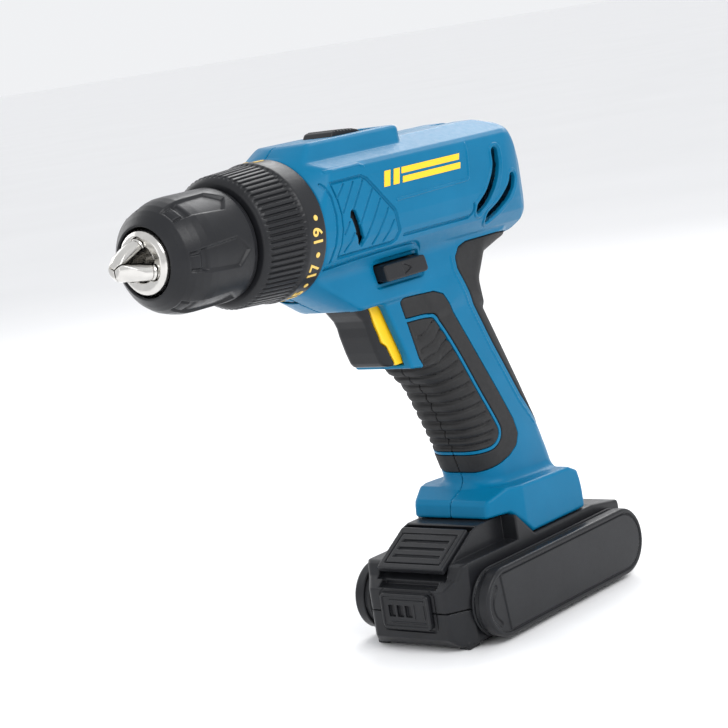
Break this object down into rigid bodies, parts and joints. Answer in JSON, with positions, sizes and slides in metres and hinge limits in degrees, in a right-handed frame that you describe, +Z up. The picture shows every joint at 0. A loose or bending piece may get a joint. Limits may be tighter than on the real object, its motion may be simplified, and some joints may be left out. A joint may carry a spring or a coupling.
{
  "type": "cordless drill",
  "caption": "Pistol-grip cordless drill driver with keyless chuck, torque collar, two-speed gearbox, soft grip and slide-on battery pack.",
  "frame": {"origin": "centre of the battery pack's underside, on the surface that the drill stands on", "axes": "+X forward along the spindle to the chuck, +Y to the drill's left, +Z up"},
  "size_m": [0.261, 0.0728, 0.222],
  "materials": {
    "housing_blue": "moulded, fine spark grain, satin",
    "black_plastic": "moulded, fine grain, satin",
    "soft_rubber": "soft overmould, matt with ribs",
    "yellow_plastic": "moulded, satin gloss",
    "cream_marks": "pale nylon and printed marks",
    "steel": "turned, bright",
    "dark_steel": "blackened steel",
    "copper": "lacquered copper windings",
    "cell_wrap": "shrink-wrapped cell"
  },
  "bodies": {
    "root": {"housing_left": "housing_blue", "housing_right": "housing_blue", "grip_rubber_left": "soft_rubber", "grip_rubber_right": "soft_rubber", "rear_rubber_left": "soft_rubber", "rear_rubber_right": "soft_rubber", "housing_screw_1": "dark_steel", "housing_screw_2": "dark_steel", "housing_screw_3": "dark_steel", "housing_screw_4": "dark_steel", "switch_body": "black_plastic", "trigger_spring": "steel", "clutch_spring": "steel", "gearbox_case": "black_plastic", "gearbox_cover": "dark_steel", "ring_gear_1": "cream_marks", "spindle_bearing": "steel", "motor_can": "steel", "motor_end_cap": "black_plastic", "brush_upper": "dark_steel", "brush_lower": "dark_steel", "terminal_block": "black_plastic"},
    "rotor": {"motor_armature": "copper", "motor_fan": "black_plastic", "motor_pinion": "steel"},
    "first_carrier": {"carrier_1": "steel"},
    "output": {"carrier_2": "steel", "spindle": "dark_steel", "chuck_body": "steel", "chuck_screw": "dark_steel"},
    "sleeve": {"chuck_sleeve": "black_plastic", "chuck_nut": "dark_steel"},
    "jaw_a": {"chuck_jaw_1": "steel"},
    "jaw_b": {"chuck_jaw_2": "steel"},
    "jaw_c": {"chuck_jaw_3": "steel"},
    "collar": {"torque_collar": "black_plastic"},
    "nut": {"clutch_nut": "dark_steel"},
    "shift_ring": {"ring_gear_2": "steel"},
    "gear_switch": {"gear_selector": "black_plastic"},
    "direction_switch": {"direction_selector": "black_plastic"},
    "trigger_unit": {"trigger": "black_plastic", "trigger_core": "yellow_plastic"},
    "pack": {"battery_shell": "black_plastic", "battery_base": "black_plastic", "battery_cap_left": "black_plastic", "battery_cap_right": "black_plastic", "cell_1": "cell_wrap", "cell_2": "cell_wrap", "cell_3": "cell_wrap", "cell_4": "cell_wrap", "cell_5": "cell_wrap", "gauge_panel": "black_plastic", "release_spring": "steel"},
    "latch_button": {"release_button": "black_plastic"},
    "planet_a1_gear": {"planet_a1": "steel"},
    "planet_a2_gear": {"planet_a2": "steel"},
    "planet_a3_gear": {"planet_a3": "steel"},
    "planet_b1_gear": {"planet_b1": "steel"},
    "planet_b2_gear": {"planet_b2": "steel"},
    "planet_b3_gear": {"planet_b3": "steel"}
  },
  "joints": [
    {"name": "spindle_spin", "type": "hinge", "parent": "root", "child": "output", "pos_m": [0.1, 0, 0.188], "axis": [1, 0, 0], "continuous": true},
    {"name": "carrier_spin", "type": "hinge", "parent": "root", "child": "first_carrier", "pos_m": [0.075, 0, 0.188], "axis": [1, 0, 0], "continuous": true},
    {"name": "motor_spin", "type": "hinge", "parent": "root", "child": "rotor", "pos_m": [0.02, 0, 0.188], "axis": [1, 0, 0], "continuous": true},
    {"name": "planet_a1_spin", "type": "hinge", "parent": "first_carrier", "child": "planet_a1_gear", "pos_m": [0.065, 0.012, 0.188], "axis": [1, 0, 0], "continuous": true},
    {"name": "planet_a2_spin", "type": "hinge", "parent": "first_carrier", "child": "planet_a2_gear", "pos_m": [0.065, -0.006, 0.19839], "axis": [1, 0, 0], "continuous": true},
    {"name": "planet_a3_spin", "type": "hinge", "parent": "first_carrier", "child": "planet_a3_gear", "pos_m": [0.065, -0.006, 0.17761], "axis": [1, 0, 0], "continuous": true},
    {"name": "planet_b1_spin", "type": "hinge", "parent": "output", "child": "planet_b1_gear", "pos_m": [0.085, 0.012, 0.188], "axis": [1, 0, 0], "continuous": true},
    {"name": "planet_b2_spin", "type": "hinge", "parent": "output", "child": "planet_b2_gear", "pos_m": [0.085, -0.006, 0.19839], "axis": [1, 0, 0], "continuous": true},
    {"name": "planet_b3_spin", "type": "hinge", "parent": "output", "child": "planet_b3_gear", "pos_m": [0.085, -0.006, 0.17761], "axis": [1, 0, 0], "continuous": true},
    {"name": "sleeve_turn", "type": "hinge", "parent": "output", "child": "sleeve", "pos_m": [0.16, 0, 0.188], "axis": [1, 0, 0], "range_deg": [0, 3600]},
    {"name": "jaw_a_slide", "type": "slide", "parent": "output", "child": "jaw_a", "axis": [-0.9613, 0, 0.2756], "range_m": [0, 0.0181]},
    {"name": "jaw_b_slide", "type": "slide", "parent": "output", "child": "jaw_b", "axis": [-0.9613, -0.2387, -0.1378], "range_m": [0, 0.0181]},
    {"name": "jaw_c_slide", "type": "slide", "parent": "output", "child": "jaw_c", "axis": [-0.9613, 0.2387, -0.1378], "range_m": [0, 0.0181]},
    {"name": "collar_turn", "type": "hinge", "parent": "root", "child": "collar", "pos_m": [0.128, 0, 0.188], "axis": [1, 0, 0], "range_deg": [-285, 0]},
    {"name": "clutch_nut_slide", "type": "slide", "parent": "root", "child": "nut", "axis": [1, 0, 0], "range_m": [-0.0051, 0], "deforming": ["clutch_spring"]},
    {"name": "gear_select", "type": "slide", "parent": "root", "child": "gear_switch", "axis": [1, 0, 0], "range_m": [-0.009, 0]},
    {"name": "ring_shift", "type": "slide", "parent": "root", "child": "shift_ring", "axis": [1, 0, 0], "range_m": [-0.0051, 0]},
    {"name": "direction_select", "type": "slide", "parent": "root", "child": "direction_switch", "axis": [0, 1, 0], "range_m": [-0.003, 0.003]},
    {"name": "trigger_pull", "type": "slide", "parent": "root", "child": "trigger_unit", "axis": [-1, 0, 0], "range_m": [0, 0.007], "stiffness_N_per_m": 600, "springref_m": -0.002, "deforming": ["trigger_spring"]},
    {"name": "pack_slide", "type": "slide", "parent": "root", "child": "pack", "axis": [1, 0, 0], "range_m": [0, 0.06]},
    {"name": "release_press", "type": "slide", "parent": "pack", "child": "latch_button", "axis": [-0.5, 0, -0.866], "range_m": [0, 0.0025], "stiffness_N_per_m": 800, "springref_m": -0.001, "deforming": ["release_spring"]}
  ],
  "couplings": [
    {"joint": "carrier_spin", "follows": "spindle_spin", "ratio": 5},
    {"joint": "motor_spin", "follows": "spindle_spin", "ratio": 25},
    {"joint": "planet_a1_spin", "follows": "spindle_spin", "ratio": -13.333},
    {"joint": "planet_a2_spin", "follows": "spindle_spin", "ratio": -13.333},
    {"joint": "planet_a3_spin", "follows": "spindle_spin", "ratio": -13.333},
    {"joint": "planet_b1_spin", "follows": "spindle_spin", "ratio": -2.6667},
    {"joint": "planet_b2_spin", "follows": "spindle_spin", "ratio": -2.6667},
    {"joint": "planet_b3_spin", "follows": "spindle_spin", "ratio": -2.6667},
    {"joint": "jaw_a_slide", "follows": "sleeve_turn", "m_per_rad": 0.00028648},
    {"joint": "jaw_b_slide", "follows": "sleeve_turn", "m_per_rad": 0.00028648},
    {"joint": "jaw_c_slide", "follows": "sleeve_turn", "m_per_rad": 0.00028648},
    {"joint": "clutch_nut_slide", "follows": "collar_turn", "m_per_rad": 0.0010052},
    {"joint": "ring_shift", "follows": "gear_select", "ratio": 0.55556}
  ]
}
